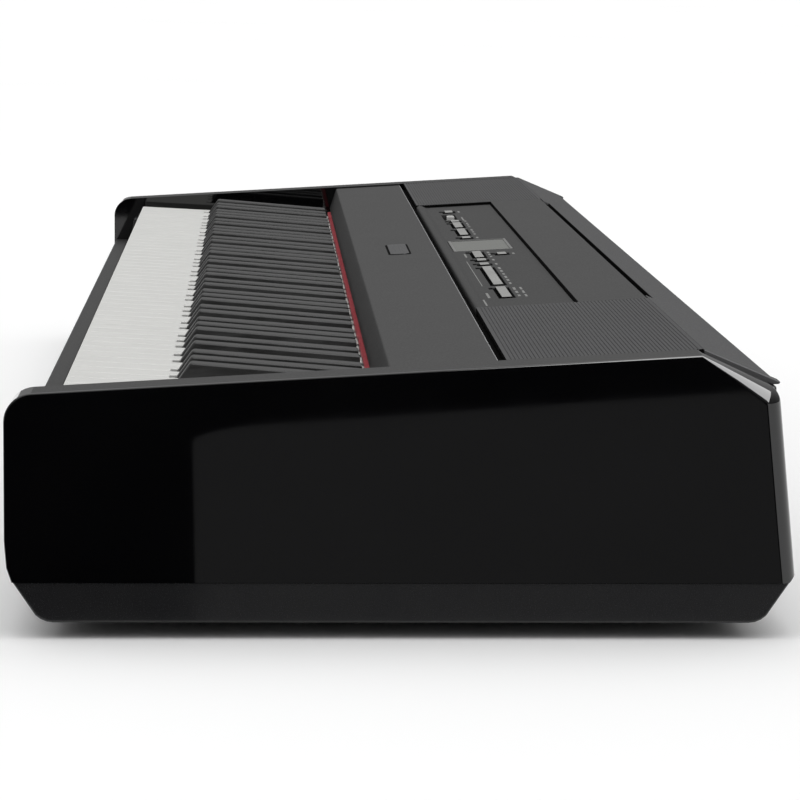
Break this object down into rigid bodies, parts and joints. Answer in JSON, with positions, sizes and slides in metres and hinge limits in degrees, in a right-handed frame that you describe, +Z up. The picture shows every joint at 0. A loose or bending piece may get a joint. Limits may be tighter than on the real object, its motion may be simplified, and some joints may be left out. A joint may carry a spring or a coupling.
{
  "type": "digital piano",
  "caption": "Slab digital piano for a tabletop or stand: hinged keys between glossy end blocks, ribbed speaker grilles, recessed controls, music rest slot.",
  "frame": {"origin": "middle of the footprint, on the surface the feet stand on", "axes": "+X along the keyboard to the treble end, -Y towards the player, +Z up"},
  "size_m": [1.336, 0.376, 0.1365],
  "materials": {
    "gloss_black": "high gloss black lacquer-like moulding",
    "satin_charcoal": "fine-textured satin charcoal",
    "case_charcoal": "matt dark charcoal",
    "grille_charcoal": "matt charcoal, finely ribbed",
    "ivory_white": "satin white with a slight ivory feel",
    "ebony_black": "matt black with a slight ebony feel",
    "red_felt": "dark red pressed felt",
    "button_grey": "light grey matt",
    "display_glass": "grey liquid crystal window, unlit",
    "speaker_black": "black paper cone and pressed basket",
    "rubber_black": "matt",
    "frame_steel": "plain zinc-plated",
    "board_green": "green circuit board",
    "base_wood": "raw fibreboard"
  },
  "bodies": {
    "case": {"base_board": "base_wood", "bass_end_block": "gloss_black", "bass_grille": "grille_charcoal", "bass_key_filler": "case_charcoal", "bass_speaker": "speaker_black", "bottom_case": "case_charcoal", "control_panel": "satin_charcoal", "display_window": "display_glass", "felt_strip": "red_felt", "foot_front_bass": "rubber_black", "foot_front_treble": "rubber_black", "foot_rear_bass": "rubber_black", "foot_rear_treble": "rubber_black", "front_guide_rail": "frame_steel", "front_top_panel": "satin_charcoal", "key_slip": "satin_charcoal", "key_stop_felt": "red_felt", "main_board": "board_green", "music_rest_channel": "case_charcoal", "pivot_rail": "frame_steel", "power_inlet": "case_charcoal", "rear_cover": "satin_charcoal", "rear_panel": "case_charcoal", "rear_strip": "satin_charcoal", "treble_end_block": "gloss_black", "treble_grille": "grille_charcoal", "treble_key_filler": "case_charcoal", "treble_speaker": "speaker_black"},
    "power_button": {"power_button": "button_grey"},
    "metronome_button": {"metronome_button": "button_grey"},
    "tempo_button_bank": {"tempo_button_bank": "button_grey"},
    "transport_button_bank": {"transport_button_bank": "button_grey"},
    "function_button": {"function_button": "button_grey"},
    "exit_button": {"exit_button": "button_grey"},
    "select_button_bank": {"select_button_bank": "button_grey"},
    "split_button": {"split_button": "button_grey"},
    "reverb_button": {"reverb_button": "button_grey"},
    "voice_button_bank": {"voice_button_bank": "button_grey"},
    "effect_button_bank": {"effect_button_bank": "button_grey"},
    "volume_slider": {"volume_slider": "button_grey"},
    "white_keys_lowest": {"white_keys_lowest": "ivory_white"},
    "black_keys_lowest": {"black_keys_lowest": "ebony_black"},
    "white_keys_low": {"white_keys_low": "ivory_white"},
    "black_keys_low": {"black_keys_low": "ebony_black"},
    "white_keys_high": {"white_keys_high": "ivory_white"},
    "black_keys_high": {"black_keys_high": "ebony_black"},
    "white_keys_highest": {"white_keys_highest": "ivory_white"},
    "black_keys_highest": {"black_keys_highest": "ebony_black"},
    "white_key_C4": {"white_key_C4": "ivory_white"},
    "white_key_D4": {"white_key_D4": "ivory_white"},
    "white_key_E4": {"white_key_E4": "ivory_white"},
    "white_key_F4": {"white_key_F4": "ivory_white"},
    "white_key_G4": {"white_key_G4": "ivory_white"},
    "white_key_A4": {"white_key_A4": "ivory_white"},
    "white_key_B4": {"white_key_B4": "ivory_white"},
    "black_key_C_sharp4": {"black_key_C_sharp4": "ebony_black"},
    "black_key_D_sharp4": {"black_key_D_sharp4": "ebony_black"},
    "black_key_F_sharp4": {"black_key_F_sharp4": "ebony_black"},
    "black_key_G_sharp4": {"black_key_G_sharp4": "ebony_black"},
    "black_key_A_sharp4": {"black_key_A_sharp4": "ebony_black"}
  },
  "joints": [
    {"name": "power_button_press", "type": "slide", "parent": "case", "child": "power_button", "axis": [0, 0, -1], "range_m": [0, 0.0008], "stiffness_N_per_m": 300, "springref_m": -0.002},
    {"name": "metronome_button_press", "type": "slide", "parent": "case", "child": "metronome_button", "axis": [0, 0, -1], "range_m": [0, 0.0008], "stiffness_N_per_m": 300, "springref_m": -0.002},
    {"name": "tempo_button_bank_press", "type": "slide", "parent": "case", "child": "tempo_button_bank", "axis": [0, 0, -1], "range_m": [0, 0.0008], "stiffness_N_per_m": 900, "springref_m": -0.002},
    {"name": "transport_button_bank_press", "type": "slide", "parent": "case", "child": "transport_button_bank", "axis": [0, 0, -1], "range_m": [0, 0.0008], "stiffness_N_per_m": 900, "springref_m": -0.002},
    {"name": "function_button_press", "type": "slide", "parent": "case", "child": "function_button", "axis": [0, 0, -1], "range_m": [0, 0.0008], "stiffness_N_per_m": 300, "springref_m": -0.002},
    {"name": "exit_button_press", "type": "slide", "parent": "case", "child": "exit_button", "axis": [0, 0, -1], "range_m": [0, 0.0008], "stiffness_N_per_m": 300, "springref_m": -0.002},
    {"name": "select_button_bank_press", "type": "slide", "parent": "case", "child": "select_button_bank", "axis": [0, 0, -1], "range_m": [0, 0.0008], "stiffness_N_per_m": 900, "springref_m": -0.002},
    {"name": "split_button_press", "type": "slide", "parent": "case", "child": "split_button", "axis": [0, 0, -1], "range_m": [0, 0.0008], "stiffness_N_per_m": 300, "springref_m": -0.002},
    {"name": "reverb_button_press", "type": "slide", "parent": "case", "child": "reverb_button", "axis": [0, 0, -1], "range_m": [0, 0.0008], "stiffness_N_per_m": 300, "springref_m": -0.002},
    {"name": "voice_button_bank_press", "type": "slide", "parent": "case", "child": "voice_button_bank", "axis": [0, 0, -1], "range_m": [0, 0.0008], "stiffness_N_per_m": 1800, "springref_m": -0.002},
    {"name": "effect_button_bank_press", "type": "slide", "parent": "case", "child": "effect_button_bank", "axis": [0, 0, -1], "range_m": [0, 0.0008], "stiffness_N_per_m": 900, "springref_m": -0.002},
    {"name": "volume_slide", "type": "slide", "parent": "case", "child": "volume_slider", "axis": [1, 0, 0], "range_m": [-0.031, 0.005]},
    {"name": "white_keys_lowest_press", "type": "hinge", "parent": "case", "child": "white_keys_lowest", "pos_m": [-0.50525, 0.057, 0.092], "axis": [1, 0, 0], "range_deg": [0, 2.6], "stiffness_Nm_per_rad": 13.5, "springref_deg": -8.59},
    {"name": "black_keys_lowest_press", "type": "hinge", "parent": "case", "child": "black_keys_lowest", "pos_m": [-0.50165, 0.057, 0.092], "axis": [1, 0, 0], "range_deg": [0, 3.2], "stiffness_Nm_per_rad": 7.2, "springref_deg": -6.88},
    {"name": "white_keys_low_press", "type": "hinge", "parent": "case", "child": "white_keys_low", "pos_m": [-0.235, 0.057, 0.092], "axis": [1, 0, 0], "range_deg": [0, 2.6], "stiffness_Nm_per_rad": 21, "springref_deg": -8.59},
    {"name": "black_keys_low_press", "type": "hinge", "parent": "case", "child": "black_keys_low", "pos_m": [-0.23455, 0.057, 0.092], "axis": [1, 0, 0], "range_deg": [0, 3.2], "stiffness_Nm_per_rad": 12, "springref_deg": -6.88},
    {"name": "white_keys_high_press", "type": "hinge", "parent": "case", "child": "white_keys_high", "pos_m": [0.2585, 0.057, 0.092], "axis": [1, 0, 0], "range_deg": [0, 2.6], "stiffness_Nm_per_rad": 21, "springref_deg": -8.59},
    {"name": "black_keys_high_press", "type": "hinge", "parent": "case", "child": "black_keys_high", "pos_m": [0.25895, 0.057, 0.092], "axis": [1, 0, 0], "range_deg": [0, 3.2], "stiffness_Nm_per_rad": 12, "springref_deg": -6.88},
    {"name": "white_keys_highest_press", "type": "hinge", "parent": "case", "child": "white_keys_highest", "pos_m": [0.517, 0.057, 0.092], "axis": [1, 0, 0], "range_deg": [0, 2.6], "stiffness_Nm_per_rad": 12, "springref_deg": -8.59},
    {"name": "black_keys_highest_press", "type": "hinge", "parent": "case", "child": "black_keys_highest", "pos_m": [0.5057, 0.057, 0.092], "axis": [1, 0, 0], "range_deg": [0, 3.2], "stiffness_Nm_per_rad": 6, "springref_deg": -6.88},
    {"name": "white_key_C4_press", "type": "hinge", "parent": "case", "child": "white_key_C4", "pos_m": [-0.05875, 0.057, 0.092], "axis": [1, 0, 0], "range_deg": [0, 2.6], "stiffness_Nm_per_rad": 1.5, "springref_deg": -8.59},
    {"name": "white_key_D4_press", "type": "hinge", "parent": "case", "child": "white_key_D4", "pos_m": [-0.03525, 0.057, 0.092], "axis": [1, 0, 0], "range_deg": [0, 2.6], "stiffness_Nm_per_rad": 1.5, "springref_deg": -8.59},
    {"name": "white_key_E4_press", "type": "hinge", "parent": "case", "child": "white_key_E4", "pos_m": [-0.01175, 0.057, 0.092], "axis": [1, 0, 0], "range_deg": [0, 2.6], "stiffness_Nm_per_rad": 1.5, "springref_deg": -8.59},
    {"name": "white_key_F4_press", "type": "hinge", "parent": "case", "child": "white_key_F4", "pos_m": [0.01175, 0.057, 0.092], "axis": [1, 0, 0], "range_deg": [0, 2.6], "stiffness_Nm_per_rad": 1.5, "springref_deg": -8.59},
    {"name": "white_key_G4_press", "type": "hinge", "parent": "case", "child": "white_key_G4", "pos_m": [0.03525, 0.057, 0.092], "axis": [1, 0, 0], "range_deg": [0, 2.6], "stiffness_Nm_per_rad": 1.5, "springref_deg": -8.59},
    {"name": "white_key_A4_press", "type": "hinge", "parent": "case", "child": "white_key_A4", "pos_m": [0.05875, 0.057, 0.092], "axis": [1, 0, 0], "range_deg": [0, 2.6], "stiffness_Nm_per_rad": 1.5, "springref_deg": -8.59},
    {"name": "white_key_B4_press", "type": "hinge", "parent": "case", "child": "white_key_B4", "pos_m": [0.08225, 0.057, 0.092], "axis": [1, 0, 0], "range_deg": [0, 2.6], "stiffness_Nm_per_rad": 1.5, "springref_deg": -8.59},
    {"name": "black_key_C_sharp4_press", "type": "hinge", "parent": "case", "child": "black_key_C_sharp4", "pos_m": [-0.0497, 0.057, 0.092], "axis": [1, 0, 0], "range_deg": [0, 3.2], "stiffness_Nm_per_rad": 1.2, "springref_deg": -6.88},
    {"name": "black_key_D_sharp4_press", "type": "hinge", "parent": "case", "child": "black_key_D_sharp4", "pos_m": [-0.0208, 0.057, 0.092], "axis": [1, 0, 0], "range_deg": [0, 3.2], "stiffness_Nm_per_rad": 1.2, "springref_deg": -6.88},
    {"name": "black_key_F_sharp4_press", "type": "hinge", "parent": "case", "child": "black_key_F_sharp4", "pos_m": [0.0199, 0.057, 0.092], "axis": [1, 0, 0], "range_deg": [0, 3.2], "stiffness_Nm_per_rad": 1.2, "springref_deg": -6.88},
    {"name": "black_key_G_sharp4_press", "type": "hinge", "parent": "case", "child": "black_key_G_sharp4", "pos_m": [0.047, 0.057, 0.092], "axis": [1, 0, 0], "range_deg": [0, 3.2], "stiffness_Nm_per_rad": 1.2, "springref_deg": -6.88},
    {"name": "black_key_A_sharp4_press", "type": "hinge", "parent": "case", "child": "black_key_A_sharp4", "pos_m": [0.0741, 0.057, 0.092], "axis": [1, 0, 0], "range_deg": [0, 3.2], "stiffness_Nm_per_rad": 1.2, "springref_deg": -6.88}
  ]
}
